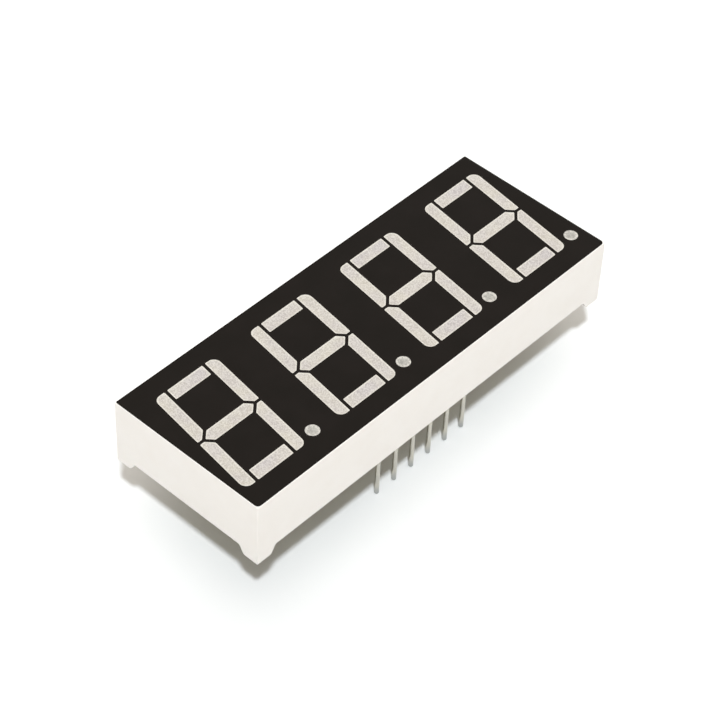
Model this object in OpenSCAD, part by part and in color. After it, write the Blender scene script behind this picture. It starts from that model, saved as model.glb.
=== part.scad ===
// Four digit seven segment display with decimal points, for soldering to a board.
//
// The origin is the centre of the pin pattern on the seating plane, which is the
// underside of the corner feet. X runs along the digits in reading order, Y runs
// towards their tops and Z comes out of the face.

/* [Housing] */
// How much shorter the housing is than its digits' pitches, so that displays can stand end to end
end_clearance = 0.5; // [0.2:0.1:1]
// Width of the housing's margins above and below the digits
margin_w = 2.4; // [2:0.1:5]
// Height of the front face above the seating plane
housing_h = 8; // [7:0.1:12]
// Radius of the housing's upright corners
housing_r = 0.15; // [0.05:0.05:0.5]
// Thickness of the side walls
wall_t = 1; // [0.8:0.05:1.05]
// Thickness of the moulded front plate between the wells
plate_t = 1; // [0.6:0.1:1.5]
// Thickness of the black coat on the front
coat_t = 0.05; // [0.04:0.01:0.1]
// Width of the shelf inside the walls that the circuit board rests against
shelf_w = 0.7; // [0.4:0.05:0.7]

/* [Feet] */
// Height of the corner feet, which keep the walls clear of the board they stand on
foot_h = 1; // [0.5:0.1:1.5]
// Width of a foot at the seating plane
foot_w = 1.85; // [1.5:0.05:2.5]
// Spread of a foot's sloping side, from the seating plane to the wall's lower edge
foot_slope = 0.6; // [0.2:0.1:1.5]
// Radius of the rounded edge between a foot's sloping side and its underside
foot_edge_r = 0.4; // [0.1:0.05:0.6]
// Radius in the corner between a foot's sloping side and the wall's lower edge
foot_fillet_r = 0.1; // [0.05:0.05:0.3]

/* [Digits] */
// Number of digits
digits = 4; // [1:1:4]
// Distance from one digit to the next
digit_pitch = 12.7; // [12.2:0.1:16]
// Height of a digit
digit_h = 14.2; // [10:0.1:16]
// Width of a digit from the outside of its left uprights to that of its right ones
digit_w = 8.2; // [7:0.1:8.4]
// Lean of the digits to the right, in degrees
slant = 8; // [0:0.5:10]
// Distance of each digit to the left of the middle of its pitch, which leaves room for the point
digit_offset = 0.21; // [0:0.01:0.4]
// Width of the upright segments, along the row of digits
upright_w = 1.44; // [1.2:0.02:1.7]
// Height of the level segments
bar_h = 1.53; // [1.2:0.01:1.8]
// Gap between the level and the upright segments, along the row of digits
segment_gap = 0.3; // [0.2:0.02:0.5]
// Gap at the middle segment's mitred ends and between the upper and lower uprights
mitre_gap = 0.27; // [0.2:0.01:0.4]
// How far the middle segment's tips stop short of the uprights' centre lines
tip_setback = 0.14; // [0:0.01:0.3]
// Radius of a digit's four outer corners
outer_r = 0.85; // [0.3:0.05:1.1]
// Radius of all other corners of the segments
corner_r = 0.12; // [0.05:0.01:0.2]

/* [Decimal points] */
// Diameter of a decimal point
point_d = 1.55; // [1:0.05:1.7]
// Gap between a digit's lower right segment and its point
point_gap = 0.66; // [0.5:0.02:0.8]

/* [Reflector wells] */
// Depth of the straight land behind the face, before the wells taper
land_t = 0.3; // [0.1:0.05:0.5]
// Length of a well at the circuit board
well_l = 2.2; // [1.6:0.1:3]
// Width of a well at the circuit board
well_w = 1; // [0.8:0.05:1.2]
// Diameter of a decimal point's well at the circuit board
point_well_d = 0.9; // [0.8:0.05:0.95]
// Wall thickness of the reflector cups round the wells
cup_t = 0.5; // [0.3:0.05:0.5]

/* [Circuit board] */
// Thickness of the circuit board
board_t = 1; // [0.6:0.1:1.6]
// Gap between the edge of the circuit board and the walls
board_clearance = 0.15; // [0.05:0.05:0.2]
// Thickness of the potting behind the circuit board
cover_t = 1.2; // [0.9:0.1:1.6]
// Thickness of the copper pads
copper_t = 0.035; // [0.035:0.035:0.105]
// Side of the square pad under each chip
chip_pad_w = 0.5; // [0.4:0.05:0.55]
// Side of the square light emitting chips
chip_w = 0.3; // [0.2:0.02:0.36]
// Height of the light emitting chips
chip_h = 0.2; // [0.1:0.02:0.3]

/* [Pins] */
// Number of pins in each of the two rows
pins_per_row = 6; // [3:1:8]
// Distance from pin to pin along a row
pin_pitch = 2.54; // [2:0.01:3]
// Distance of each row of pins from the long side of the housing that it runs along
row_inset = 1.88; // [1.85:0.01:2.2]
// Diameter of a pin
pin_d = 0.5; // [0.4:0.05:0.6]
// Length of the pins below the seating plane
pin_l = 6.5; // [3:0.1:12]
// Width of a pin's flattened root, in the potting and the circuit board
root_w = 0.7; // [0.5:0.05:0.75]
// Thickness of a pin's flattened root
root_t = 0.3; // [0.2:0.05:0.35]
// Diameter of the pins' holes in the circuit board
pin_hole_d = 0.85; // [0.84:0.01:1]
// Diameter of the copper pads round the pins
pin_pad_d = 1.3; // [1.2:0.05:1.4]
// Height of the solder fillets on the pins' pads
solder_h = 0.5; // [0.3:0.05:0.8]
// Thickness of the solder round the root at the tip of its fillet
solder_tip_t = 0.08; // [0.05:0.01:0.1]

/* [Hidden] */
$fn = 48;
// Largest distance between an arc and its chords
ARC_ERROR = 0.005;
// Length by which a cut runs past the surface that it opens
CUT = 1;

SEGMENTS = ["a", "b", "c", "d", "e", "f", "g"];
POINT = "point";
CELLS = concat(SEGMENTS, POINT);

housing_l = digits * digit_pitch - end_clearance;
housing_w = digit_h + 2 * margin_w;
row_spacing = housing_w - 2 * row_inset;
board_back_z = foot_h + cover_t;
board_front_z = board_back_z + board_t;
plate_front_z = housing_h - coat_t;
land_back_z = housing_h - land_t;

cavity_l = housing_l - 2 * wall_t;
cavity_w = housing_w - 2 * wall_t;

// Half sizes of a digit before it is slanted
digit_top = digit_h / 2;
outer_x = digit_w / 2;
inner_x = outer_x - upright_w;
bar_x = inner_x - segment_gap;
upright_x = (outer_x + inner_x) / 2;
tip_x = upright_x - tip_setback;
upright_foot_y = mitre_gap / 2;
// The uprights' mitres keep mitre_gap, measured square to them, from the middle segment's
mitre_sum = tip_x + mitre_gap * sqrt(2);

function cell_name(d, c) = c == POINT ? str("point_", d) : str("segment_", d, c);
function digit_x(d) = (d - (digits + 1) / 2) * digit_pitch - digit_offset;
function slanted(p) = [p[0] + p[1] * tan(slant), p[1]];
function unit(v) = v / norm(v);

// Pins are numbered along the lower row from the left, then back along the upper one
function pin_place(n) =
    let (lower = n <= pins_per_row, k = lower ? n - 1 : 2 * pins_per_row - n)
    [(k - (pins_per_row - 1) / 2) * pin_pitch, (lower ? -1 : 1) * row_spacing / 2];

// Corners of the level segment at the top (up = 1) or bottom (up = -1), before slanting
function bar_corners(up) =
    [[-bar_x, up * digit_top], [bar_x, up * digit_top],
     [bar_x, up * (digit_top - bar_h)], [-bar_x, up * (digit_top - bar_h)]];

// Corners of the middle segment, a bar with a mitred tip at each end
function middle_corners() =
    let (y = bar_h / 2)
    [[-tip_x, 0], [y - tip_x, y], [tip_x - y, y], [tip_x, 0], [tip_x - y, -y], [y - tip_x, -y]];

// Corners of an upright segment, from the digit's outer corner round to its outer edge
function upright_corners(right, up) =
    [for (p = [[outer_x, digit_top], [inner_x, digit_top], [inner_x, mitre_sum - inner_x],
               [mitre_sum - upright_foot_y, upright_foot_y], [outer_x, upright_foot_y]])
        [right * p[0], up * p[1]]];

function corners(c) =
    c == "a" ? bar_corners(1) :
    c == "b" ? upright_corners(1, 1) :
    c == "c" ? upright_corners(1, -1) :
    c == "d" ? bar_corners(-1) :
    c == "e" ? upright_corners(-1, -1) :
    c == "f" ? upright_corners(-1, 1) : middle_corners();

function is_upright(c) = len(search(c, "bcef")) > 0;
function corner_radii(c) =
    [for (i = [0:len(corners(c)) - 1]) is_upright(c) && i == 0 ? outer_r : corner_r];

// The middle of a cell, where its chip sits, in its digit's slanted frame
function cell_middle(c) =
    c == "a" ? slanted([0, digit_top - bar_h / 2]) :
    c == "b" ? slanted([upright_x, (digit_top + upright_foot_y) / 2]) :
    c == "c" ? slanted([upright_x, -(digit_top + upright_foot_y) / 2]) :
    c == "d" ? slanted([0, bar_h / 2 - digit_top]) :
    c == "e" ? slanted([-upright_x, -(digit_top + upright_foot_y) / 2]) :
    c == "f" ? slanted([-upright_x, (digit_top + upright_foot_y) / 2]) :
    c == "g" ? [0, 0] :
    let (y = (point_d - digit_h) / 2)
    [slanted([outer_x, y])[0] + point_gap + point_d / 2, y];

// The angle of a cell's length, and its length and width at the face
function cell_angle(c) = is_upright(c) ? 90 - slant : 0;
function cell_size(c) =
    c == "g" ? [2 * tip_x, bar_h] :
    is_upright(c) ? [(digit_top - upright_foot_y) / cos(slant), upright_w * cos(slant)] :
    [2 * bar_x, bar_h];

// A corner at p between the directions to its neighbours, replaced by an arc of radius r
function rounded_corner(p, back, on, r) =
    r == 0 ? [p] : let (
        half = acos(back * on) / 2,
        centre = p + unit(back + on) * r / sin(half),
        start = p + back * r / tan(half) - centre,
        end = p + on * r / tan(half) - centre,
        first = atan2(start[1], start[0]),
        sweep = (atan2(end[1], end[0]) - first + 540) % 360 - 180,
        steps = ceil(abs(sweep) / (2 * acos(1 - ARC_ERROR / r)))
    )
    [for (k = [0:steps]) let (t = first + sweep * k / steps) centre + r * [cos(t), sin(t)]];

function rounded(points, radii) =
    let (n = len(points))
    [for (i = [0:n - 1])
        each rounded_corner(
            points[i], unit(points[(i + n - 1) % n] - points[i]),
            unit(points[(i + 1) % n] - points[i]), radii[i])];

// A segment's outline about its own middle, with its length along X
function outline(c) =
    let (a = cell_angle(c), m = cell_middle(c))
    rounded(
        [for (p = corners(c)) let (q = slanted(p) - m)
            [q[0] * cos(a) + q[1] * sin(a), q[1] * cos(a) - q[0] * sin(a)]],
        corner_radii(c));

// Puts children at one cell of a digit, with X along the cell's length
module at_cell(d, c)
    translate([digit_x(d) + cell_middle(c)[0], cell_middle(c)[1], 0]) rotate(cell_angle(c)) children();

module at_pins()
    for (n = [1:2 * pins_per_row]) translate(pin_place(n)) children();

// A box standing on height z0, centred on the origin in plan
module box(size, z0)
    translate([-size[0] / 2, -size[1] / 2, z0]) cube(size);

// A slice of the housing's outer shape, t thick from height z0
module slab(t, z0) {
    x = housing_l / 2;
    y = housing_w / 2;
    translate([0, 0, z0]) linear_extrude(t)
        polygon(rounded([[-x, -y], [x, -y], [x, y], [-x, y]], [for (i = [1:4]) housing_r]));
}

// The straight land of a cell's cavity, behind the face
module land(c, past_face = 0)
    translate([0, 0, land_back_z])
        if (c == POINT) cylinder(h = land_t + past_face, d = point_d);
        else linear_extrude(land_t + past_face) polygon(outline(c));

// The reflector's taper, from the land down to the well's opening round the chip
module taper(c) {
    taper_h = land_back_z - board_front_z;
    translate([0, 0, land_back_z]) mirror([0, 0, 1])
        if (c == POINT) cylinder(h = taper_h, d1 = point_d, d2 = point_well_d);
        else
            linear_extrude(
                taper_h, scale = [well_l / cell_size(c)[0], well_w / cell_size(c)[1]],
                slices = 1, segments = 0
            )
                polygon(outline(c));
}

module well(c, past_face = 0) {
    land(c, past_face);
    taper(c);
}

// The outside of a reflector cup, which keeps cup_t round its well
module cup(c) {
    cup_h = land_back_z - board_front_z;
    rim = 2 * [cup_t, cup_t];
    top = cell_size(c) + rim;
    foot = [well_l, well_w] + rim;
    translate([0, 0, land_back_z]) mirror([0, 0, 1])
        if (c == POINT)
            cylinder(h = cup_h, d1 = point_d + 2 * cup_t, d2 = point_well_d + 2 * cup_t);
        else
            linear_extrude(
                cup_h, scale = [foot[0] / top[0], foot[1] / top[1]], slices = 1, segments = 0
            )
                square(top, center = true);
}

// The space between the feet along one side, as long as the side's length
module foot_relief(side_l) {
    x0 = side_l / 2 - foot_w;
    x1 = x0 - foot_slope;
    rotate([90, 0, 0]) linear_extrude(2 * max(housing_l, housing_w), center = true)
        polygon(rounded(
            [[-x0 - CUT, -CUT], [-x0 - CUT, 0], [-x0, 0], [-x1, foot_h],
             [x1, foot_h], [x0, 0], [x0 + CUT, 0], [x0 + CUT, -CUT]],
            [0, 0, foot_edge_r, foot_fillet_r, foot_fillet_r, foot_edge_r, 0, 0]));
}

module housing()
    color("ivory")
    difference() {
        union() {
            difference() {
                slab(plate_front_z, 0);
                foot_relief(housing_l);
                rotate(90) foot_relief(housing_w);
                box([cavity_l, cavity_w, board_front_z + CUT], -CUT);
                box([cavity_l - 2 * shelf_w, cavity_w - 2 * shelf_w, plate_front_z - plate_t + CUT], -CUT);
            }
            for (d = [1:digits], c = CELLS) at_cell(d, c) cup(c);
        }
        for (d = [1:digits], c = CELLS) at_cell(d, c) well(c, CUT);
    }

module black_face()
    color([0.1, 0.09, 0.08])
    difference() {
        slab(coat_t, plate_front_z);
        for (d = [1:digits], c = CELLS) at_cell(d, c) land(c, CUT);
    }

// The chip's copper pad
module chip_pad()
    box([chip_pad_w, chip_pad_w, copper_t], board_front_z);

module chip()
    box([chip_w, chip_w, chip_h], board_front_z + copper_t);

// The resin in one well, cast round the chip and its pad
module light_pipe(d, c)
    color([0.86, 0.84, 0.83])
    at_cell(d, c)
        difference() {
            well(c);
            chip_pad();
            chip();
        }

module chips(d)
    color([0.75, 0.62, 0.35])
    for (c = CELLS) at_cell(d, c) chip();

module board_blank()
    box([cavity_l - 2 * board_clearance, cavity_w - 2 * board_clearance, board_t], board_back_z);

module circuit_board()
    color([0.72, 0.7, 0.45])
    difference() {
        board_blank();
        at_pins() translate([0, 0, board_back_z - CUT]) cylinder(h = board_t + 2 * CUT, d = pin_hole_d);
    }

// The ring of copper round a pin's hole, on the back of the board
module pin_pad()
    translate([0, 0, board_back_z - copper_t])
        difference() {
            cylinder(h = copper_t, d = pin_pad_d);
            translate([0, 0, -CUT]) cylinder(h = copper_t + 2 * CUT, d = pin_hole_d);
        }

module copper_pads()
    color([0.8, 0.5, 0.3]) {
        at_pins() pin_pad();
        for (d = [1:digits], c = CELLS) at_cell(d, c) chip_pad();
    }

// Everything that one pin puts through the board's back: its root, solder and pad
module solder_outline() {
    tip_r = norm([root_w, root_t]) / 2 + solder_tip_t;
    pad_z = board_back_z - copper_t;
    translate([0, 0, pad_z - solder_h]) cylinder(h = solder_h, r1 = tip_r, d2 = pin_pad_d);
    translate([0, 0, pad_z]) cylinder(h = board_t + copper_t, d = pin_hole_d);
}

module pin_root()
    box([root_w, root_t, board_front_z - foot_h], foot_h);

module solder_joints()
    color([0.75, 0.75, 0.77])
    at_pins() difference() {
        solder_outline();
        pin_root();
    }

// A round pin with a domed end and a flattened root that the potting holds
module pin(n)
    color([0.8, 0.8, 0.8])
    translate(pin_place(n)) {
        translate([0, 0, pin_d / 2 - pin_l]) {
            sphere(d = pin_d);
            cylinder(h = pin_l - pin_d / 2 + foot_h, d = pin_d);
        }
        pin_root();
    }

module potting()
    color([0.9, 0.88, 0.8])
    difference() {
        box([cavity_l, cavity_w, board_front_z - foot_h], foot_h);
        board_blank();
        at_pins() {
            pin_root();
            solder_outline();
            pin_pad();
        }
    }

housing();
black_face();
circuit_board();
copper_pads();
solder_joints();
potting();
for (n = [1:2 * pins_per_row])
    pin(n);
for (d = [1:digits])
    chips(d);
for (d = [1:digits], c = CELLS)
    light_pipe(d, c);
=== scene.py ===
"""Finishes a four digit seven segment display: its moulded housing, black face coat, resin
segments and points, tinned pins, potting and inner pieces, with a stage and a camera.
"""

import math

import bmesh
import bpy
import numpy as np
from bpy.props import FloatProperty, FloatVectorProperty, PointerProperty
from mathutils import Matrix, Vector
from mathutils.geometry import convex_hull_2d


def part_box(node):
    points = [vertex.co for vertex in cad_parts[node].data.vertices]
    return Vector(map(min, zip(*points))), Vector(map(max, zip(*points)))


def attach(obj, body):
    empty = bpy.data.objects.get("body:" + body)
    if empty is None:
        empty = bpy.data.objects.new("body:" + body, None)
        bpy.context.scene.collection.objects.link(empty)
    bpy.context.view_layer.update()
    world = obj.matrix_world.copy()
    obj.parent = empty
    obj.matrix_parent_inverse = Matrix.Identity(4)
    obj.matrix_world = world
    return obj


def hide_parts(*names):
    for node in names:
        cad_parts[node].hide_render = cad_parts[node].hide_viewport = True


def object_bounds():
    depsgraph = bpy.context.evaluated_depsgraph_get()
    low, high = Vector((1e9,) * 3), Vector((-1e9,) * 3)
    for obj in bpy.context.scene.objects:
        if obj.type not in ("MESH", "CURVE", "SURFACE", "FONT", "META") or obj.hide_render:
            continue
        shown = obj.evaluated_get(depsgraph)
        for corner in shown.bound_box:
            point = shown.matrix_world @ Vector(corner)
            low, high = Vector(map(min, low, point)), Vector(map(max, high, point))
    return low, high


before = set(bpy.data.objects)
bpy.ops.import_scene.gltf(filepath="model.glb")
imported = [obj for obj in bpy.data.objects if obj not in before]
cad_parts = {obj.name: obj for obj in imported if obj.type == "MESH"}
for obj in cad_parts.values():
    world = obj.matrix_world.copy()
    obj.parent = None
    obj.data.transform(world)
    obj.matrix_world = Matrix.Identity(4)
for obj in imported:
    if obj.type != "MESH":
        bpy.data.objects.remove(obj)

bl_info = {
    "name": "Seven segment display",
    "version": (1, 0, 0),
    "blender": (4, 5, 0),
    "location": "3D View > Sidebar > Display",
    "description": "Builds the finished pieces of a four digit seven segment display",
    "category": "Object",
}

BODY = "root"
MM = 0.001
# Radius of the housing's and the coat's upright corners in the CAD model
CORNER = 0.15 * MM
# Distances from the edge of the resin's face at which its dish is drawn
FACE_STEPS = np.array([0, 0.015, 0.03, 0.05, 0.08, 0.12, 0.17, 0.23, 0.3, 0.38]) * MM
# Shares of the way to the middle at which a segment's and a point's dish is drawn beyond those
SEGMENT_SHARES = np.array([0.65, 0.8, 0.97])
POINT_SHARES = np.array([0.65, 0.75, 0.85, 0.95])
# Greatest distance between the rays that a segment's rings are drawn on, along its outline
RAY_STEP = 0.15 * MM
# Rings of a well's resin from the chip up to the step under the coat
RINGS_BELOW_FACE = 8
# Points round a decimal point and round a pin
POINT_SIDES = 96
PIN_SIDES = 32
# Rings of a pin's domed tip, shank and root, and the angle in degrees of the dome's first ring
TIP_RINGS = 14
SHANK_RINGS = 40
ROOT_RINGS = 12
TIP_START = 3
# Least angle in degrees between two faces of the housing for their lower edge to be rounded
CREASE_ANGLE = 50
# Length of the pin over which its round shank turns into the flat root
ROOT_EASE = 0.35 * MM
# Distances over which the potting levels out from the walls and from the pins
WALL_FADE = 0.7 * MM
PIN_FADE = 0.28 * MM
# Grid of the potting's lower face: its step, its step near a pin, and how far that reaches
POTTING_STEP = 0.5 * MM
POTTING_FINE_STEP = 0.09 * MM
POTTING_FINE_REACH = 0.9 * MM
# Depth within which a point of the housing, in millimetres, belongs to its outer edge
OUTER_EDGE_DEPTH = 0.12
# Tolerance for telling a level of the housing, in millimetres, and a corner's arc, in metres
LEVEL_TOLERANCE = 1e-3
ARC_TOLERANCE = 0.001 * MM
# Powers with which the soft lights and the level light fade
SOFT_FADE = 4
LEVEL_FADE = 60
# Height above the horizon of the soft light from behind
BEHIND_ELEVATION = math.radians(20)
PINS = sorted((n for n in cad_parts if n.startswith("pin_")), key=lambda n: int(n[4:]))
SEGMENTS = sorted(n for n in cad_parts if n.startswith("segment_"))
POINTS = sorted(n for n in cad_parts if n.startswith("point_"))
CHIPS = sorted(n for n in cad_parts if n.startswith("chips_"))
CAD_BOX = [list(corner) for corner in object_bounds()]


def length(name, description, default):
    """A size in metres that the user may change."""
    return FloatProperty(
        name=name, description=description, default=default, min=0, precision=6, unit="LENGTH"
    )


def colour(name, description, default):
    return FloatVectorProperty(
        name=name, description=description, default=default, min=0, max=1, size=3, subtype="COLOR"
    )


def angle(name, description, degrees):
    return FloatProperty(name=name, description=description, default=math.radians(degrees), subtype="ANGLE")


def strength(name, description, default):
    return FloatProperty(name=name, description=description, default=default, min=0)


def factor(name, description, default):
    return FloatProperty(name=name, description=description, default=default, min=0, max=1, subtype="FACTOR")


class HousingFinish(bpy.types.PropertyGroup):
    """The white moulding."""

    upright_edge: length("Upright edge", "Radius of its four upright edges", 0.07 * MM)
    face_edge: length("Face edge", "Radius of the edge round the front face", 0.06 * MM)
    foot_edge: length("Lower edge", "Radius of the edges under the walls and feet", 0.06 * MM)
    plastic: colour("Plastic", "Colour of the moulding", (0.943, 0.909, 0.874))
    shade: colour("Shade", "Colour of its slightly darker patches", (0.928, 0.890, 0.850))
    roughness: factor("Roughness", "Roughness of its surface", 0.5)


class FaceFinish(bpy.types.PropertyGroup):
    """The black coat on the front."""

    margin: length("Margin", "How far the coat stops short of the housing's sides", 0.08 * MM)
    lower_corner: length("Lower corner", "Radius of the coat's two corners below the digits", 0.42 * MM)
    upper_corner: length("Upper corner", "Radius of its two corners above them", 0.15 * MM)
    creep: length("Creep", "How far the coat reaches in over the edge of each well", 0.04 * MM)
    ink: colour("Ink", "Colour of the coat", (0.0098, 0.0074, 0.0056))
    worn_ink: colour("Worn ink", "Colour where the coat is slightly thinner", (0.0118, 0.0088, 0.0070))
    roughness: factor("Roughness", "Roughness of the coat", 0.62)


class ResinFinish(bpy.types.PropertyGroup):
    """The milky resin of the segments and points."""

    dish: length("Dish", "How far the resin sinks below the face in the middle of a well", 0.11 * MM)
    dish_edge: length("Dish edge", "Width of the curve from the face down into the dish", 0.45 * MM)
    # Painted highlight: the rim width and rim colour paint a paler band along each segment's edge. It stands
    # in for light from the white well walls showing through the thin resin there, and for light caught on the
    # dish's slope
    highlight_width: length("Rim width", "Width of the paler rim along a segment's edge", 0.2 * MM)
    resin: colour("Resin", "Colour of the segments", (0.540, 0.494, 0.426))
    cloud: colour("Cloud", "Colour of their cooler clouds", (0.478, 0.432, 0.430))
    bar_cloud: factor("Cloud in the bars", "Share of the cooler clouds in the level bars a and d", 0.62)
    other_cloud: factor("Cloud in the others", "Share of the cooler clouds in the other segments", 0.3)
    grain: colour("Grain", "Colour of the fine grain in the resin", (1.0, 0.955, 0.895))
    # Painted highlight colour of that band along a segment's edge
    rim: colour("Rim", "Colour along a segment's edge", (0.66, 0.62, 0.55))
    point: colour("Point", "Colour of the decimal points", (0.52, 0.495, 0.45))
    # Painted highlight: the paler colour round a decimal point's edge stands in for light caught on the rim
    # of its dish
    point_highlight: colour("Point rim", "Colour along a point's edge", (0.70, 0.665, 0.605))
    roughness: factor("Roughness", "Roughness of the resin", 0.42)


class PinFinish(bpy.types.PropertyGroup):
    """The tinned pins."""

    root_thickness: length("Root thickness", "Thickness of a pin's flattened root", 0.3 * MM)
    tin: colour("Tin", "Colour of the tinned wire", (0.60, 0.575, 0.505))
    dull_tin: colour("Dull tin", "Colour of its duller streaks", (0.52, 0.50, 0.45))
    # Painted shade: the greyer colour on the lowest 0.3 to 1.6 mm of each pin stands in for the shaded floor
    # that the lower wire mirrors
    tip: colour("Tip", "Colour of the wire's blunter, greyer ends", (0.42, 0.425, 0.415))
    roughness: factor("Roughness", "Roughness of the tinned wire", 0.12)


class PottingFinish(bpy.types.PropertyGroup):
    """The potting that closes the back."""

    sag: length("Sag", "How far the potting sinks between the walls", 0.12 * MM)
    climb: length("Climb", "How far the potting climbs the pins", 0.25 * MM)
    resin: colour("Resin", "Colour of the potting", (0.50, 0.48, 0.365))
    cloud: colour("Cloud", "Colour of its darker clouds", (0.44, 0.42, 0.31))
    roughness: factor("Roughness", "Roughness of the potting", 0.16)


class InsideFinish(bpy.types.PropertyGroup):
    """The circuit board and what is soldered and bonded to it."""

    board: colour("Board", "Colour of the board", (0.42, 0.40, 0.20))
    copper: colour("Copper", "Colour of the copper pads", (0.85, 0.50, 0.34))
    solder: colour("Solder", "Colour of the solder", (0.72, 0.72, 0.74))
    chip: colour("Chip", "Colour of the light emitting chips", (0.60, 0.42, 0.12))


class StageSetup(bpy.types.PropertyGroup):
    """Floor, light and camera."""

    floor: colour("Floor", "Colour of the floor", (0.97, 0.97, 0.97))
    floor_bounce: factor("Floor bounce", "Share of the light that the floor throws back at the display", 0.62)
    floor_size: length("Floor size", "Length of the floor's sides", 4)
    key: strength("Key", "Strength of the key light", 2.25)
    key_colour: colour("Key colour", "Colour of the key light", (0.90, 0.955, 1.0))
    key_azimuth: angle("Key azimuth", "Direction of the key light round the display", -44.5)
    key_elevation: angle("Key elevation", "Height of the key light above the horizon", 61.8)
    key_spread: angle("Key spread", "Angular size of the key light", 4.7)
    overhead: strength("Overhead", "Strength of the soft light from above", 1.17)
    behind: strength("Behind", "Strength of the soft light from behind", 1.3)
    level: strength("Level", "Strength of the soft light along the table", 21.5)
    soft_colour: colour("Soft colour", "Colour of the soft light", (1.0, 0.95, 0.87))
    aim: FloatVectorProperty(
        name="Aim", description="Point that the camera looks at", unit="LENGTH", precision=6,
        default=(-1.30 * MM, 0.523 * MM, 4 * MM),
    )
    distance: length("Distance", "Distance of the camera from that point", 248.93 * MM)
    azimuth: angle("Azimuth", "Direction of the camera round the display", -48.88)
    elevation: angle("Elevation", "Height of the camera above the horizon", 45.25)
    roll: angle("Roll", "Roll of the camera", 2.60)
    lens: FloatProperty(name="Lens", description="Focal length of the lens in mm", default=127.711, min=1)


# Meshes


def add_piece(name, mesh, material, slot, *nodes):
    """Adds a mesh as a finished piece that stands for the named nodes."""
    piece = bpy.data.objects.new(name, mesh)
    bpy.context.scene.collection.objects.link(piece)
    mesh.materials.clear()
    mesh.materials.append(material)
    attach(piece, BODY)
    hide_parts(*nodes)
    return piece


def ring_mesh(name, rings, sharp=30):
    """A closed mesh from rings of equally many points, an array (rings, points, 3).

    Each ring is joined to the next by a band of faces, and the first and last are capped.
    The rings run from the underside outwards and over the top, anticlockwise from above.
    """
    at = np.arange(rings.shape[0] * rings.shape[1]).reshape(rings.shape[:2])
    on = np.roll(at, -1, axis=1)
    bands = np.stack([at[:-1], on[:-1], on[1:], at[1:]], axis=-1).reshape(-1, 4)
    mesh = bpy.data.meshes.new(name)
    caps = [at[0, ::-1].tolist(), at[-1].tolist()]
    mesh.from_pydata(rings.reshape(-1, 3), [], bands.tolist() + caps)
    mesh.shade_smooth()
    mesh.set_sharp_from_angle(angle=math.radians(sharp))
    return mesh


def set_values(mesh, name, values):
    """Stores one number per vertex for the mesh's material."""
    stored = mesh.attributes.new(name, "FLOAT", "POINT").data
    stored.foreach_set("value", np.ravel(values).astype(np.float32))


def node_points(node):
    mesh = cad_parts[node].data
    points = np.empty(len(mesh.vertices) * 3, np.float32)
    mesh.vertices.foreach_get("co", points)
    return points.reshape(-1, 3).astype(float)


def level_outlines(node):
    """The convex outlines of a node's points at each height where it has any, lowest first."""
    points = node_points(node)
    heights = np.unique(points[:, 2].round(6))
    outlines = []
    for z in heights:
        level = np.unique(points[np.abs(points[:, 2] - z) < 2e-6, :2].round(7), axis=0)
        outlines.append(level[convex_hull_2d(level.tolist())])
    return heights, outlines


def reach(outline, middle, rays, inset=0.0):
    """How far an outline, drawn in by inset, lies from the middle along each ray.

    Each side lies at a distance h from the middle, square to the side. Drawn in, it is met
    at (h - inset) / cos(angle between ray and that square), and the nearest side counts.
    """
    side = np.roll(outline, -1, axis=0) - outline
    square = np.stack([side[:, 1], -side[:, 0]], axis=1)
    square /= np.linalg.norm(square, axis=1, keepdims=True)
    square *= np.sign(((outline - middle) * square).sum(1, keepdims=True))
    distance = ((outline - middle) * square).sum(1)
    cosine = rays @ square.T
    return np.where(cosine > 1e-6, (distance - inset) / np.maximum(cosine, 1e-6), np.inf).min(1)


def along(outline, step):
    """Points on an outline: its corners, and others between them no further apart than step."""
    following = np.roll(outline, -1, axis=0)
    parts = np.ceil(np.linalg.norm(following - outline, axis=1) / step).astype(int)
    side = np.repeat(np.arange(len(outline)), parts)
    share = (np.arange(parts.sum()) - np.repeat(np.cumsum(parts) - parts, parts)) / parts[side]
    return outline[side] + (following - outline)[side] * share[:, None]


def dished(z, inset, dish, edge):
    """Height of resin that sinks below height z: z - dish * (1 - exp(-inset / edge))."""
    return z - dish * (1 - np.exp(-inset / edge))


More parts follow.
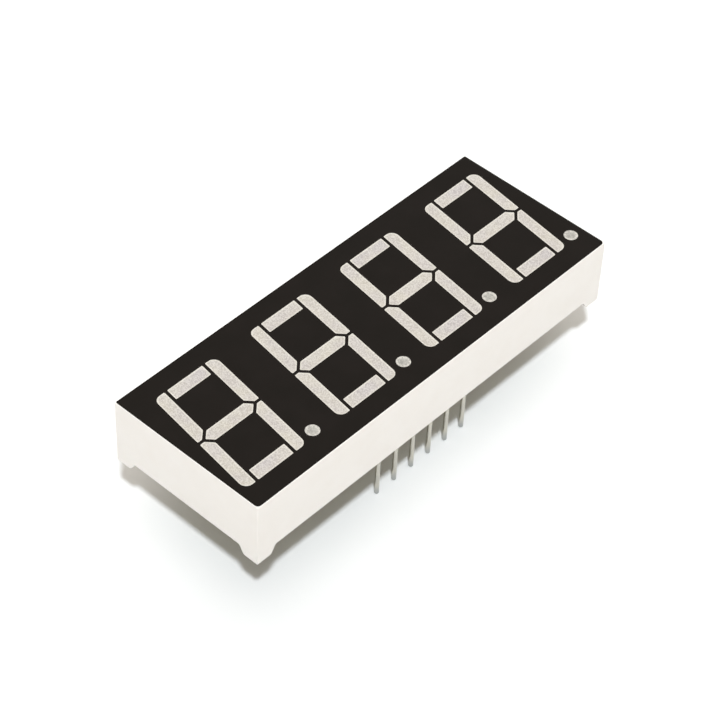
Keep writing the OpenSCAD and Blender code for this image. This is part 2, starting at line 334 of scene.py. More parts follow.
def segment_mesh(name, node, dish, edge, creep):
    """One segment's resin, from its recess round the chip up to its dished face.

    Its rings lie on rays from the middle of the well. From below they are the chip's top and
    foot, the pad's edge and foot, the well's opening, the land, the step in under the coat,
    and then the face's outline drawn in step by step.
    """
    heights, (well, pad, chip, land, face) = level_outlines(node)
    middle = chip.mean(0)
    # The well's opening is the land's outline scaled along the chip's two directions
    sides = np.diff(chip[:3], axis=0)
    axes = sides / np.linalg.norm(sides, axis=1, keepdims=True)
    scale = np.ptp(well @ axes.T, axis=0) / np.ptp(land @ axes.T, axis=0)
    corners = ((np.concatenate([chip, pad]) - middle) @ axes.T / scale) @ axes
    rim = np.concatenate([along(face, RAY_STEP) - middle, corners])
    turns = np.unique(np.arctan2(rim[:, 1], rim[:, 0]).round(4))
    rays = np.stack([np.cos(turns), np.sin(turns)], axis=1)

    land_ring = rays * reach(land, middle, rays)[:, None]
    well_ring = (land_ring @ axes.T * scale) @ axes
    inner_rays = well_ring / np.linalg.norm(well_ring, axis=1, keepdims=True)
    pad_ring = inner_rays * reach(pad, middle, inner_rays)[:, None]
    chip_ring = inner_rays * reach(chip, middle, inner_rays)[:, None]
    deepest = np.abs(reach(face, middle, rays)).min() - creep
    insets = np.append(FACE_STEPS, deepest * SEGMENT_SHARES)
    z_well, z_pad, z_chip, z_land, z_face = heights
    z_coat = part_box("black_face")[0].z
    rings = [(chip_ring, z_chip), (chip_ring, z_pad), (pad_ring, z_pad), (pad_ring, z_well),
             (well_ring, z_well), (land_ring, z_land), (land_ring, z_coat),
             (rays * reach(face, middle, rays, creep)[:, None], z_coat)]
    rings += [
        (rays * reach(face, middle, rays, creep + inset)[:, None], dished(z_face, inset, dish, edge))
        for inset in insets
    ]
    points = np.stack([np.column_stack([ring + middle, np.full(len(ring), z)]) for ring, z in rings])
    mesh = ring_mesh(name, points)
    set_values(mesh, "inset", np.repeat(np.append(np.zeros(RINGS_BELOW_FACE), insets) / MM, len(turns)))
    return mesh


def point_mesh(name, node, dish, edge, creep):
    """One decimal point's resin: a plug of revolution over a square recess round its chip.

    Its radius runs up the taper and the land, steps in under the coat, and its face sinks by
    dish * (1 - exp(-inset / edge)).
    """
    heights, outlines = level_outlines(node)
    heights, (well, pad, chip, land, face) = heights[[0, 1, 2, -2, -1]], outlines[:3] + outlines[-2:]
    middle = chip.mean(0)
    turns = np.radians(np.arange(POINT_SIDES) * (360 / POINT_SIDES))
    rays = np.stack([np.cos(turns), np.sin(turns)], axis=1)
    square = 1 / np.abs(rays).max(1)
    radius = [np.ptp(outline[:, 0]) / 2 for outline in (well, pad, chip, land, face)]
    top_radius = radius[4] - creep
    insets = np.append(FACE_STEPS, top_radius * POINT_SHARES)
    z_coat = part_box("black_face")[0].z
    sunk = dished(heights[4], insets, dish, edge)
    round_ring = np.ones_like(square)
    rings = [(square * radius[2], heights[2]), (square * radius[2], heights[1]),
             (square * radius[1], heights[1]), (square * radius[1], heights[0]),
             (round_ring * radius[0], heights[0]), (round_ring * radius[3], heights[3]),
             (round_ring * radius[3], z_coat), (round_ring * top_radius, z_coat)]
    rings += [(round_ring * (top_radius - inset), z) for inset, z in zip(insets, sunk)]
    points = np.stack(
        [np.column_stack([rays * wide[:, None] + middle, np.full(len(rays), z)]) for wide, z in rings]
    )
    mesh = ring_mesh(name, points)
    set_values(mesh, "inset", np.repeat(np.append(np.zeros(RINGS_BELOW_FACE), insets) / MM, len(turns)))
    return mesh


def pin_mesh(name, node, root_thickness, root_z):
    """A round pin: a circle carried up a straight path and flattened in the potting.

    The tip is a dome, radius * sin(t) wide at radius * (1 - cos(t)) above its lowest point. Above
    root_z the circle eases into the flat oval of the root.
    """
    low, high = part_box(node)
    middle = np.array([low.x + high.x, low.y + high.y]) / 2
    radius = (high.y - low.y) / 2
    dome = np.radians(np.linspace(TIP_START, 90, TIP_RINGS))
    shank = np.linspace(low.z + radius, root_z, SHANK_RINGS)[1:]
    root = np.linspace(root_z, high.z, ROOT_RINGS)[1:]
    z = np.concatenate([low.z + radius * (1 - np.cos(dome)), shank, root])
    ease = np.clip((z - root_z) / ROOT_EASE, 0, 1)
    ease = ease * ease * (3 - 2 * ease)
    round_part = np.concatenate([radius * np.sin(dome), np.full(len(shank) + len(root), radius)])
    wide = round_part + ease * ((high.x - low.x) / 2 - radius)
    thick = round_part + ease * (root_thickness / 2 - radius)
    turns = np.linspace(0, 2 * math.pi, PIN_SIDES, endpoint=False)
    rings = np.stack([
        middle[0] + wide[:, None] * np.cos(turns), middle[1] + thick[:, None] * np.sin(turns),
        np.broadcast_to(z[:, None], (len(z), len(turns)))], axis=-1)
    mesh = ring_mesh(name, rings)
    set_values(mesh, "from_tip", np.repeat((z - low.z) / MM, len(turns)))
    return mesh


def grid_lines(low, high, marks, near, fine, coarse):
    """Grid lines from low to high: coarse apart, and fine apart near each mark."""
    lines = [np.linspace(low, high, round((high - low) / coarse) + 1)]
    lines += [mark + np.arange(-near, near + fine / 2, fine) for mark in marks]
    lines = np.unique(np.concatenate(lines).clip(low, high))
    return lines[np.append(True, np.diff(lines) > fine / 3)]


def potting_mesh(name, node, sag, climb, pins, pin_radius, back):
    """The potting as a slab under the circuit board, whose lower face is a grid of heights.

    At a distance w from the walls and p from the nearest pin's side the face lies at
    z = floor + sag * (1 - exp(-w / WALL_FADE)) - climb * exp(-p / PIN_FADE).
    """
    low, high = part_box(node)
    near = pin_radius + POTTING_FINE_REACH
    marks_x, marks_y = np.unique(pins[:, 0].round(6)), np.unique(pins[:, 1].round(6))
    xs = grid_lines(low.x, high.x, marks_x, near, POTTING_FINE_STEP, POTTING_STEP)
    ys = grid_lines(low.y, high.y, marks_y, near, POTTING_FINE_STEP, POTTING_STEP)
    x, y = np.meshgrid(xs, ys)
    wall = np.minimum(np.minimum(x - low.x, high.x - x), np.minimum(y - low.y, high.y - y))
    pin = np.hypot(x[..., None] - pins[:, 0], y[..., None] - pins[:, 1]).min(-1) - pin_radius
    sunk = sag * (1 - np.exp(-wall / WALL_FADE))
    z = low.z + sunk - climb * np.exp(-np.maximum(pin, 0) / PIN_FADE)
    face = np.stack([x, y, z], axis=-1)
    at = np.arange(x.size).reshape(x.shape)
    quads = np.stack([at[:-1, :-1], at[1:, :-1], at[1:, 1:], at[:-1, 1:]], axis=-1).reshape(-1, 4)
    border = np.concatenate([at[0, :-1], at[:-1, -1], at[-1, :0:-1], at[:0:-1, 0]])
    top = np.column_stack([face.reshape(-1, 3)[border, :2], np.full(len(border), back)])
    above = x.size + np.arange(len(border))
    sides = np.stack([border, np.roll(border, -1), np.roll(above, -1), above], axis=-1)
    mesh = bpy.data.meshes.new(name)
    mesh.from_pydata(
        np.concatenate([face.reshape(-1, 3), top]), [], quads.tolist() + sides.tolist() + [above.tolist()]
    )
    mesh.shade_smooth()
    mesh.set_sharp_from_angle(angle=math.radians(40))
    return mesh


def merged_copy(node):
    """A copy of a node's mesh, in millimetres, with its loose triangles joined up."""
    mesh = bmesh.new()
    mesh.from_mesh(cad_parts[node].data)
    bmesh.ops.scale(mesh, vec=(1 / MM,) * 3, verts=mesh.verts)
    bmesh.ops.remove_doubles(mesh, verts=mesh.verts, dist=1e-4)
    bmesh.ops.dissolve_limit(
        mesh, angle_limit=math.radians(0.5), verts=mesh.verts, edges=mesh.edges, use_dissolve_boundaries=False
    )
    return mesh


def finished_mesh(name, mesh, sharp=35):
    """Turns an edited copy back into metres and shades its flat faces flat."""
    bmesh.ops.scale(mesh, vec=(MM,) * 3, verts=mesh.verts)
    result = bpy.data.meshes.new(name)
    mesh.to_mesh(result)
    mesh.free()
    result.shade_smooth()
    result.set_sharp_from_angle(angle=math.radians(sharp))
    return result


def moved_points(mesh, move):
    """Moves a mesh's points to move(points), an array (points, 3) in metres."""
    points = np.empty(len(mesh.vertices) * 3, np.float32)
    mesh.vertices.foreach_get("co", points)
    mesh.vertices.foreach_set("co", move(points.reshape(-1, 3).astype(float)).ravel().astype(np.float32))
    mesh.update()
    return mesh


def with_corners(points, low, high, was, radius, margin=0.0):
    """A block's points with its upright corners at another radius and its sides drawn in by margin.

    A point of the old arc lies at centre + was * direction. It moves to the point at
    centre + radius * direction on the arc round the new centre. There is one radius for the
    corners at the low end of Y, and one for those at the high end.
    """
    middle, half = (low + high)[:2] / 2, (high - low)[:2] / 2
    from_middle = points[:, :2] - middle
    side = np.sign(from_middle)
    radius = np.where(side[:, 1:] < 0, *radius)
    arm = np.abs(from_middle) - (half - was)
    on_arc = (arm > -ARC_TOLERANCE).all(1, keepdims=True)
    arc = half - margin - radius + radius * arm / was
    straight = np.minimum(np.abs(from_middle), half - margin)
    return np.column_stack([middle + side * np.where(on_arc, arc, straight), points[:, 2]])


def housing_mesh(name, node, upright_edge, face_edge, foot_edge):
    """The housing with its edges rounded: upright, round the front, and under walls and feet."""
    low, high = (np.array(corner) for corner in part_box(node))
    shell = finished_mesh(name, merged_copy(node))
    corners = (upright_edge, upright_edge)
    moved_points(shell, lambda points: with_corners(points, low, high, CORNER, corners))
    low, high, floor_z = low / MM, high / MM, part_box("potting")[0].z / MM
    mesh = bmesh.new()
    mesh.from_mesh(shell)
    bmesh.ops.scale(mesh, vec=(1 / MM,) * 3, verts=mesh.verts)

    def outside(vert):
        return min(high[0] - abs(vert.co.x), high[1] - abs(vert.co.y)) < OUTER_EDGE_DEPTH

    def at_front(vert):
        return vert.co.z > high[2] - LEVEL_TOLERANCE and outside(vert)

    def at_foot(vert):
        return vert.co.z < floor_z + LEVEL_TOLERANCE

    def is_crease(edge):
        return edge.is_manifold and edge.calc_face_angle() > math.radians(CREASE_ANGLE)

    front = [edge for edge in mesh.edges if all(at_front(vert) for vert in edge.verts)]
    lower = [edge for edge in mesh.edges if all(at_foot(vert) for vert in edge.verts) and is_crease(edge)]
    bmesh.ops.bevel(
        mesh, geom=front, offset=face_edge / MM, segments=4, profile=0.5, affect="EDGES", clamp_overlap=False
    )
    bmesh.ops.bevel(
        mesh, geom=[edge for edge in lower if edge.is_valid], offset=foot_edge / MM, segments=3, profile=0.5,
        affect="EDGES", clamp_overlap=True,
    )
    return finished_mesh(name, mesh)


def coat_mesh(name, node, margin, corners, creep):
    """The coat, drawn in by margin at its outer edge, and reaching in by creep at each opening.

    A point of an opening lies between two upright faces with squares a and b, which point
    into the opening. It moves by creep * (a + b) / (1 + a . b), to where the moved faces meet.
    """
    low, high = (np.array(corner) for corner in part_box(node))
    mesh = finished_mesh(name, merged_copy(node))
    faces = len(mesh.polygons)
    square = np.empty(faces * 3, np.float32)
    middle = np.empty(faces * 3, np.float32)
    sizes = np.empty(faces, np.int32)
    mesh.polygons.foreach_get("normal", square)
    mesh.polygons.foreach_get("center", middle)
    mesh.polygons.foreach_get("loop_total", sizes)
    square, middle = square.reshape(-1, 3), middle.reshape(-1, 3)
    corner_points = np.empty(sizes.sum(), np.int32)
    mesh.loops.foreach_get("vertex_index", corner_points)
    beyond_corner = 1.5 * CORNER
    inside = ((middle > low + beyond_corner) & (middle < high - beyond_corner))[:, :2].all(1)
    in_opening = np.repeat(inside & (np.abs(square[:, 2]) < 0.1), sizes)
    both = np.zeros((len(mesh.vertices), 2))
    np.add.at(both, corner_points[in_opening], np.repeat(square, sizes, axis=0)[in_opening, :2])
    length_squared = np.maximum((both * both).sum(1, keepdims=True), 1e-9)

    def move(points):
        points = with_corners(points, low, high, CORNER, corners, margin)
        points[:, :2] += creep * 2 * both / length_squared
        return points

    return moved_points(mesh, move)


# Materials


class Shading:
    """A Principled material under construction, with the few kinds of node that it needs."""

    def __init__(self, name, **values):
        self.material = bpy.data.materials.new(name)
        self.material.use_nodes = True
        self.tree = self.material.node_tree
        self.shader = self.tree.nodes["Principled BSDF"]
        for socket, value in values.items():
            self.shader.inputs[socket.replace("_", " ")].default_value = value

    def noise(self, size, detail=2.0, stretch=(1, 1, 1), distortion=0.0):
        """Noise whose blobs are about size across, longer along an axis with a stretch above 1."""
        place = self.tree.nodes.new("ShaderNodeTexCoord")
        mapping = self.tree.nodes.new("ShaderNodeMapping")
        mapping.inputs["Scale"].default_value = [1 / (size * times) for times in stretch]
        texture = self.tree.nodes.new("ShaderNodeTexNoise")
        texture.inputs["Scale"].default_value = 1
        texture.inputs["Detail"].default_value = detail
        texture.inputs["Distortion"].default_value = distortion
        self.tree.links.new(place.outputs["Object"], mapping.inputs["Vector"])
        self.tree.links.new(mapping.outputs["Vector"], texture.inputs["Vector"])
        return texture.outputs["Fac"]

    def specks(self, size):
        """Specks about size across, each with a shade of its own."""
        place = self.tree.nodes.new("ShaderNodeTexCoord")
        texture = self.tree.nodes.new("ShaderNodeTexVoronoi")
        texture.inputs["Scale"].default_value = 1 / size
        self.tree.links.new(place.outputs["Object"], texture.inputs["Vector"])
        return texture.outputs["Color"]

    def attribute(self, name):
        node = self.tree.nodes.new("ShaderNodeAttribute")
        node.attribute_name = name
        return node.outputs["Fac"]

    def spread(self, value, low, high, to_low=0.0, to_high=1.0, smooth=False):
        """Spreads value from the range low to high over the range to_low to to_high."""
        node = self.tree.nodes.new("ShaderNodeMapRange")
        node.interpolation_type = "SMOOTHSTEP" if smooth else "LINEAR"
        for socket, number in zip(("From Min", "From Max", "To Min", "To Max"), (low, high, to_low, to_high)):
            node.inputs[socket].default_value = number
        self.tree.links.new(value, node.inputs["Value"])
        return node.outputs["Result"]

    def add(self, first, second):
        """The sum of two values, kept between 0 and 1."""
        node = self.tree.nodes.new("ShaderNodeMath")
        node.operation = "ADD"
        node.use_clamp = True
        self.tree.links.new(first, node.inputs[0])
        self.tree.links.new(second, node.inputs[1])
        return node.outputs[0]

    def mix(self, share, first, second):
        """A colour between first and second, by share."""
        node = self.tree.nodes.new("ShaderNodeMix")
        node.data_type = "RGBA"
        for socket, value in ((node.inputs[0], share), (node.inputs[6], first), (node.inputs[7], second)):
            if isinstance(value, bpy.types.NodeSocket):
                self.tree.links.new(value, socket)
            elif socket == node.inputs[0]:
                socket.default_value = value
            else:
                socket.default_value = (*value, 1)
        return node.outputs[2]

    def bump(self, height, depth, under=None):
        """Relief of the given depth in metres from a height between 0 and 1."""
        node = self.tree.nodes.new("ShaderNodeBump")
        node.inputs["Strength"].default_value = 1
        node.inputs["Distance"].default_value = depth
        self.tree.links.new(height, node.inputs["Height"])
        if under:
            self.tree.links.new(under, node.inputs["Normal"])
        return node.outputs["Normal"]

    def use(self, **sockets):
        """Links outputs to the shader's sockets, and returns the material."""
        for socket, output in sockets.items():
            self.tree.links.new(output, self.shader.inputs[socket.replace("_", " ")])
        return self.material


def moulded_plastic(finish):
    look = Shading("Moulded plastic", Specular_IOR_Level=0.3)
    patches = look.spread(look.noise(2.2 * MM, 3), 0.35, 0.7)
    grain = look.noise(0.07 * MM, 2)
    return look.use(
        Base_Color=look.mix(patches, tuple(finish.plastic), tuple(finish.shade)),
        Roughness=look.spread(grain, 0.3, 0.7, finish.roughness - 0.06, finish.roughness + 0.06),
        Normal=look.bump(grain, 0.0015 * MM, under=look.bump(look.noise(1.6 * MM, 2), 0.006 * MM)),
    )


def black_ink(finish):
    look = Shading("Black ink", Specular_IOR_Level=0.08)
    cloud = look.spread(look.noise(3.0 * MM, 4), 0.38, 0.68)
    grain = look.noise(0.05 * MM, 3)
    return look.use(
        Base_Color=look.mix(cloud, tuple(finish.ink), tuple(finish.worn_ink)),
        Roughness=look.spread(grain, 0.3, 0.7, finish.roughness - 0.08, finish.roughness + 0.08),
        Normal=look.bump(grain, 0.002 * MM, under=look.bump(look.noise(0.6 * MM, 2), 0.003 * MM)),
    )


def milky_resin(finish):
    look = Shading("Milky resin", Specular_IOR_Level=0.3)
    drift = look.spread(look.noise(2.6 * MM, 2), 0.38, 0.62, -0.3, 0.3)
    cloud = look.add(look.attribute("cloud"), drift)
    grain = look.spread(look.specks(0.1 * MM), 0.25, 0.75)
    body = look.mix(cloud, tuple(finish.resin), tuple(finish.cloud))
    # Painted highlight: the resin turns paler towards each segment's edge, within the rim width
    rim = look.spread(look.attribute("inset"), 0.04, finish.highlight_width / MM, 1, 0, smooth=True)
    highlighted = look.mix(rim, body, tuple(finish.rim))
    return look.use(
        Base_Color=look.mix(look.spread(grain, 0, 1, 0, 0.36), highlighted, tuple(finish.grain)),
        Roughness=look.spread(grain, 0, 1, finish.roughness - 0.08, finish.roughness + 0.08),
        Normal=look.bump(look.noise(0.1 * MM, 2), 0.003 * MM),
    )


def point_resin(finish):
    look = Shading("Point resin", Specular_IOR_Level=0.3)
    grain = look.spread(look.specks(0.15 * MM), 0.3, 0.8)
    # Painted highlight: paler towards the point's edge, its own colour in the middle
    middle = look.spread(look.attribute("inset"), 0.1, 0.4, smooth=True)
    body = look.mix(middle, tuple(finish.point_highlight), tuple(finish.point))
    return look.use(
        Base_Color=look.mix(look.spread(grain, 0, 1, 0, 0.6), body, tuple(v * 0.5 for v in finish.point)),
        Roughness=look.spread(grain, 0, 1, finish.roughness - 0.1, finish.roughness + 0.06),
        Normal=look.bump(look.noise(0.12 * MM, 2), 0.006 * MM),
    )


def tinned_wire(finish):
    look = Shading("Tinned wire", Metallic=1.0)
    draw = look.noise(0.05 * MM, 2, stretch=(1, 1, 14))
    streak = look.spread(look.noise(0.25 * MM, 2, stretch=(1, 1, 5)), 0.4, 0.7)
    wire = look.mix(streak, tuple(finish.tin), tuple(finish.dull_tin))
    # Painted shade: fades from the tip colour at the pin's lowest point to the tinned wire 1.6 mm up
    painted_tip_shade = look.spread(look.attribute("from_tip"), 0.3, 1.6, 1, 0, smooth=True)
    return look.use(
        Base_Color=look.mix(painted_tip_shade, wire, tuple(finish.tip)),
        Roughness=look.spread(draw, 0.3, 0.7, finish.roughness - 0.04, finish.roughness + 0.08),
        Normal=look.bump(draw, 0.0008 * MM),
    )


def potting_resin(finish):
    look = Shading("Potting resin", Coat_Weight=0.3, Coat_Roughness=0.05)
    cloud = look.spread(look.noise(4 * MM, 4, distortion=0.6), 0.35, 0.7)
    dust = look.noise(0.2 * MM, 3)
    return look.use(
        Base_Color=look.mix(cloud, tuple(finish.resin), tuple(finish.cloud)),
        Roughness=look.spread(dust, 0.3, 0.7, finish.roughness - 0.05, finish.roughness + 0.1),
        Normal=look.bump(look.noise(1.2 * MM, 2), 0.01 * MM),
    )


def board_laminate(finish):
    look = Shading("Board laminate", Specular_IOR_Level=0.45)
    weave = look.noise(0.25 * MM, 2, stretch=(3, 1, 1))
    return look.use(
        Base_Color=look.mix(
            look.spread(weave, 0.3, 0.7), tuple(finish.board), tuple(v * 0.8 for v in finish.board)
        ),
        Roughness=look.spread(weave, 0.3, 0.7, 0.35, 0.5),
        Normal=look.bump(weave, 0.004 * MM),
    )


def bare_metal(name, tone, roughness):
    look = Shading(name, Metallic=1.0)
    ripple = look.noise(0.12 * MM, 3)
    return look.use(
        Base_Color=look.mix(look.spread(ripple, 0.3, 0.7), tone, tuple(v * 0.8 for v in tone)),
        Roughness=look.spread(ripple, 0.3, 0.7, roughness - 0.06, roughness + 0.08),
        Normal=look.bump(ripple, 0.002 * MM),
    )


def chip_crystal(finish):
    look = Shading("Chip crystal", Specular_IOR_Level=0.7)
    layer = look.noise(0.03 * MM, 1, stretch=(6, 6, 1))
    return look.use(
        Base_Color=look.mix(
            look.spread(layer, 0.35, 0.65), tuple(finish.chip), tuple(v * 0.6 for v in finish.chip)
        ),
        Roughness=look.spread(layer, 0.3, 0.7, 0.2, 0.35),
    )


# Operators


class DISPLAY_OT_housing(bpy.types.Operator):
    """Build the white housing with rounded edges"""

    bl_idname = "display.housing"
    bl_label = "Housing"

    def execute(self, context):
        finish = context.scene.display_housing
        edges = (finish.upright_edge, finish.face_edge, finish.foot_edge)
        mesh = housing_mesh("housing_shell", "housing", *edges)
        piece = add_piece("housing_shell", mesh, moulded_plastic(finish), "white_plastic", "housing")
        piece.modifiers.new("Flat walls", "WEIGHTED_NORMAL").keep_sharp = True
        return {"FINISHED"}


class DISPLAY_OT_face(bpy.types.Operator):
    """Build the black coat on the front"""

    bl_idname = "display.face"
    bl_label = "Black face"

    def execute(self, context):
        finish = context.scene.display_face
        corners = (finish.lower_corner, finish.upper_corner)
        mesh = coat_mesh("face_coat", "black_face", finish.margin, corners, finish.creep)
        add_piece("face_coat", mesh, black_ink(finish), "black_coat", "black_face")
        return {"FINISHED"}


class DISPLAY_OT_segments(bpy.types.Operator):
    """Build the resin of each segment"""

    bl_idname = "display.segments"
    bl_label = "Segments"

    def execute(self, context):
        finish = context.scene.display_resin
        material = milky_resin(finish)
        for node in SEGMENTS:
            name = node.replace("segment", "resin")
            mesh = segment_mesh(name, node, finish.dish, finish.dish_edge, context.scene.display_face.creep)
            share = finish.bar_cloud if node[-1] in "ad" else finish.other_cloud
            set_values(mesh, "cloud", np.full(len(mesh.vertices), share))
            add_piece(name, mesh, material, "segment_resin", node)
        return {"FINISHED"}


class DISPLAY_OT_points(bpy.types.Operator):
    """Build the resin of each decimal point"""

    bl_idname = "display.points"
    bl_label = "Decimal points"

    def execute(self, context):
        finish = context.scene.display_resin
        material = point_resin(finish)
        for node in POINTS:
            name = "resin_" + node
            mesh = point_mesh(name, node, finish.dish, finish.dish_edge, context.scene.display_face.creep)
            add_piece(name, mesh, material, "point_resin", node)
        return {"FINISHED"}


class DISPLAY_OT_pins(bpy.types.Operator):
    """Build the tinned pins"""

    bl_idname = "display.pins"
    bl_label = "Pins"

    def execute(self, context):
        finish = context.scene.display_pins
        material = tinned_wire(finish)
        root_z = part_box("potting")[0].z
        for node in PINS:
            name = node.replace("pin", "wire")
            mesh = pin_mesh(name, node, finish.root_thickness, root_z)
            add_piece(name, mesh, material, "tinned_wire", node)
        return {"FINISHED"}


class DISPLAY_OT_potting(bpy.types.Operator):
    """Build the potting that closes the back"""

    bl_idname = "display.potting"
    bl_label = "Potting"

    def execute(self, context):
        finish = context.scene.display_potting
        boxes = [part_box(node) for node in PINS]
        pins = np.array([((low + high) / 2)[:2] for low, high in boxes])
        radius = (boxes[0][1].y - boxes[0][0].y) / 2
        mesh = potting_mesh(
            "potting_fill", "potting", finish.sag, finish.climb, pins, radius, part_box("circuit_board")[0].z
        )
        add_piece("potting_fill", mesh, potting_resin(finish), "potting_resin", "potting")
        return {"FINISHED"}


class DISPLAY_OT_inside(bpy.types.Operator):
    """Finish the circuit board, copper pads, solder and chips"""

    bl_idname = "display.inside"
    bl_label = "Inside"

    def execute(self, context):
        finish = context.scene.display_inside
        wear = {
            "circuit_board": board_laminate(finish),
            "copper_pads": bare_metal("Copper pads", tuple(finish.copper), 0.3),
            "solder_joints": bare_metal("Solder", tuple(finish.solder), 0.25),
        }
        wear.update(dict.fromkeys(CHIPS, chip_crystal(finish)))
        for node, material in wear.items():
            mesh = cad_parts[node].data
            mesh.materials.clear()
            mesh.materials.append(material)
        return {"FINISHED"}


class DISPLAY_OT_stage(bpy.types.Operator):
    """Set up the floor, the light and the camera"""

    bl_idname = "display.stage"
    bl_label = "Stage"

    def execute(self, context):
        setup = context.scene.display_stage
        self.add_floor(context, setup)
        self.add_light(context, setup)
        self.add_camera(context, setup)
        context.scene.view_settings.view_transform = "Standard"
        return {"FINISHED"}

    def add_floor(self, context, setup):
        z = CAD_BOX[0][2]
        half = setup.floor_size / 2
        mesh = bpy.data.meshes.new("floor")
        corners = [(-half, -half, z), (half, -half, z), (half, half, z), (-half, half, z)]
        mesh.from_pydata(corners, [], [(0, 1, 2, 3)])
        paper = Shading("Paper", Roughness=1.0, Specular_IOR_Level=0.0)
        seen = self.seen_directly(paper.tree)
        tone = paper.mix(seen, (setup.floor_bounce,) * 3, tuple(setup.floor))
        mesh.materials.append(paper.use(Base_Color=tone))
        floor = bpy.data.objects.new("floor", mesh)
        context.scene.collection.objects.link(floor)

    def add_light(self, context, setup):
        lamp = bpy.data.lights.new("key", "SUN")
        lamp.energy = setup.key
        lamp.color = setup.key_colour
        lamp.angle = setup.key_spread
        key = bpy.data.objects.new("key", lamp)
        key.matrix_world = facing(setup.key_azimuth, setup.key_elevation)
        context.scene.collection.objects.link(key)

        world = bpy.data.worlds.new("studio")
        world.use_nodes = True
        context.scene.world = world
        tree = world.node_tree
        tree.nodes.clear()
        soft = tree.nodes.new("ShaderNodeBackground")
        seen = tree.nodes.new("ShaderNodeBackground")
        soft.inputs["Color"].default_value = (*setup.soft_colour, 1)
        seen.inputs["Color"].default_value = (1, 1, 1, 1)
        above = self.soft_light(tree, (0, 0, 1), setup.overhead)
        backwards = away_from(setup.azimuth + math.pi, BEHIND_ELEVATION)
        back = self.soft_light(tree, backwards, setup.behind)
        glow = self.calculate(tree, "ADD", above, back)
        glow = self.calculate(tree, "ADD", glow, self.level_light(tree, setup.level))
        tree.links.new(glow, soft.inputs["Strength"])
        share = self.seen_directly(tree)
        mix = tree.nodes.new("ShaderNodeMixShader")
        out = tree.nodes.new("ShaderNodeOutputWorld")
        for source, socket in ((share, 0), (soft.outputs[0], 1), (seen.outputs[0], 2)):
            tree.links.new(source, mix.inputs[socket])
        tree.links.new(mix.outputs[0], out.inputs["Surface"])

    def seen_directly(self, tree):
        """1 for what the camera sees, or sees mirrored or through something, and 0 for soft light."""
        path = tree.nodes.new("ShaderNodeLightPath").outputs
        mirrored = self.calculate(tree, "MAXIMUM", path["Is Glossy Ray"], path["Is Transmission Ray"])
        return self.calculate(tree, "MAXIMUM", path["Is Camera Ray"], mirrored)

    def soft_light(self, tree, direction, brightest):
        """Light that fades round a direction with the cosine of the angle to it, to SOFT_FADE."""
        sky = tree.nodes.new("ShaderNodeTexCoord")
        dot = tree.nodes.new("ShaderNodeVectorMath")
        dot.operation = "DOT_PRODUCT"
        dot.inputs[1].default_value = direction
        tree.links.new(sky.outputs["Generated"], dot.inputs[0])
        facing_it = self.calculate(tree, "MAXIMUM", dot.outputs["Value"], 0)
        fade = self.calculate(tree, "POWER", facing_it, SOFT_FADE)
        return self.calculate(tree, "MULTIPLY", fade, brightest)

    def level_light(self, tree, brightest):
        """Light that fades from the horizon with (1 - height)^LEVEL_FADE; height is 1 overhead."""
        sky = tree.nodes.new("ShaderNodeTexCoord")
        split = tree.nodes.new("ShaderNodeSeparateXYZ")
        tree.links.new(sky.outputs["Generated"], split.inputs[0])
        height = self.calculate(tree, "ABSOLUTE", split.outputs["Z"])
        fade = self.calculate(tree, "POWER", self.calculate(tree, "SUBTRACT", 1, height), LEVEL_FADE)
        return self.calculate(tree, "MULTIPLY", fade, brightest)

    def calculate(self, tree, operation, *values):
        node = tree.nodes.new("ShaderNodeMath")
        node.operation = operation
        for socket, value in zip(node.inputs, values):
            if isinstance(value, bpy.types.NodeSocket):
                tree.links.new(value, socket)
            else:
                socket.default_value = value
        return node.outputs[0]

    def add_camera(self, context, setup):
        lens = bpy.data.cameras.new("camera")
        lens.lens = setup.lens
        lens.clip_start = 0.01
        camera = bpy.data.objects.new("camera", lens)
        context.scene.collection.objects.link(camera)
        turn = facing(setup.azimuth, setup.elevation)
        away = turn.to_3x3() @ Vector((0, 0, setup.distance))
        camera.matrix_world = (
            Matrix.Translation(Vector(setup.aim) + away) @ turn @ Matrix.Rotation(setup.roll, 4, "Z")
        )
        context.scene.camera = camera


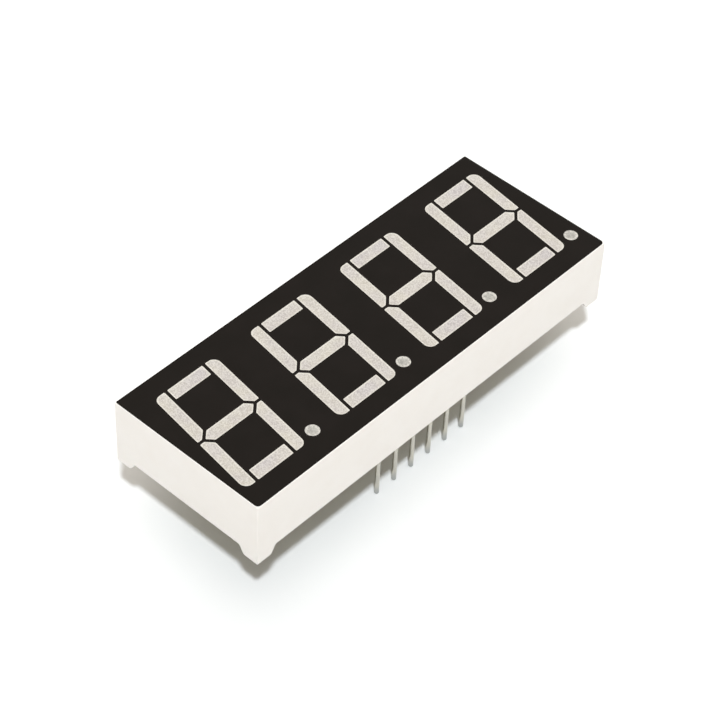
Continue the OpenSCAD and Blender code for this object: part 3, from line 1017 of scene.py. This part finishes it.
def away_from(azimuth, elevation):
    """The direction away from the display at an azimuth, 0 at its front, and an elevation."""
    return Vector((
        math.sin(azimuth) * math.cos(elevation), -math.cos(azimuth) * math.cos(elevation), math.sin(elevation)
    ))


def facing(azimuth, elevation):
    """The turn of a lamp or camera that looks at the display from there."""
    return away_from(azimuth, elevation).to_track_quat("Z", "Y").to_matrix().to_4x4()


class DISPLAY_PT_pieces(bpy.types.Panel):
    """The display's pieces and their finishes"""

    bl_label = "Seven segment display"
    bl_space_type = "VIEW_3D"
    bl_region_type = "UI"
    bl_category = "Display"

    def draw(self, context):
        for operator, group in BUILDERS:
            box = self.layout.box()
            box.operator(operator.bl_idname)
            if group:
                settings = getattr(context.scene, group)
                for key in settings.bl_rna.properties.keys():
                    if key not in ("rna_type", "name"):
                        box.prop(settings, key)


GROUPS = {
    "display_housing": HousingFinish,
    "display_face": FaceFinish,
    "display_resin": ResinFinish,
    "display_pins": PinFinish,
    "display_potting": PottingFinish,
    "display_inside": InsideFinish,
    "display_stage": StageSetup,
}
BUILDERS = (
    (DISPLAY_OT_housing, "display_housing"),
    (DISPLAY_OT_face, "display_face"),
    (DISPLAY_OT_segments, "display_resin"),
    (DISPLAY_OT_points, None),
    (DISPLAY_OT_pins, "display_pins"),
    (DISPLAY_OT_potting, "display_potting"),
    (DISPLAY_OT_inside, "display_inside"),
    (DISPLAY_OT_stage, "display_stage"),
)


def register():
    for name, group in GROUPS.items():
        bpy.utils.register_class(group)
        setattr(bpy.types.Scene, name, PointerProperty(type=group))
    for operator, _ in BUILDERS:
        bpy.utils.register_class(operator)
    bpy.utils.register_class(DISPLAY_PT_pieces)


def unregister():
    bpy.utils.unregister_class(DISPLAY_PT_pieces)
    for operator, _ in reversed(BUILDERS):
        bpy.utils.unregister_class(operator)
    for name, group in reversed(GROUPS.items()):
        delattr(bpy.types.Scene, name)
        bpy.utils.unregister_class(group)


def main():
    register()
    bpy.ops.display.housing()
    bpy.ops.display.face()
    bpy.ops.display.segments()
    bpy.ops.display.points()
    bpy.ops.display.pins()
    bpy.ops.display.potting()
    bpy.ops.display.inside()
    bpy.ops.display.stage()


if __name__ == "__main__":
    main()
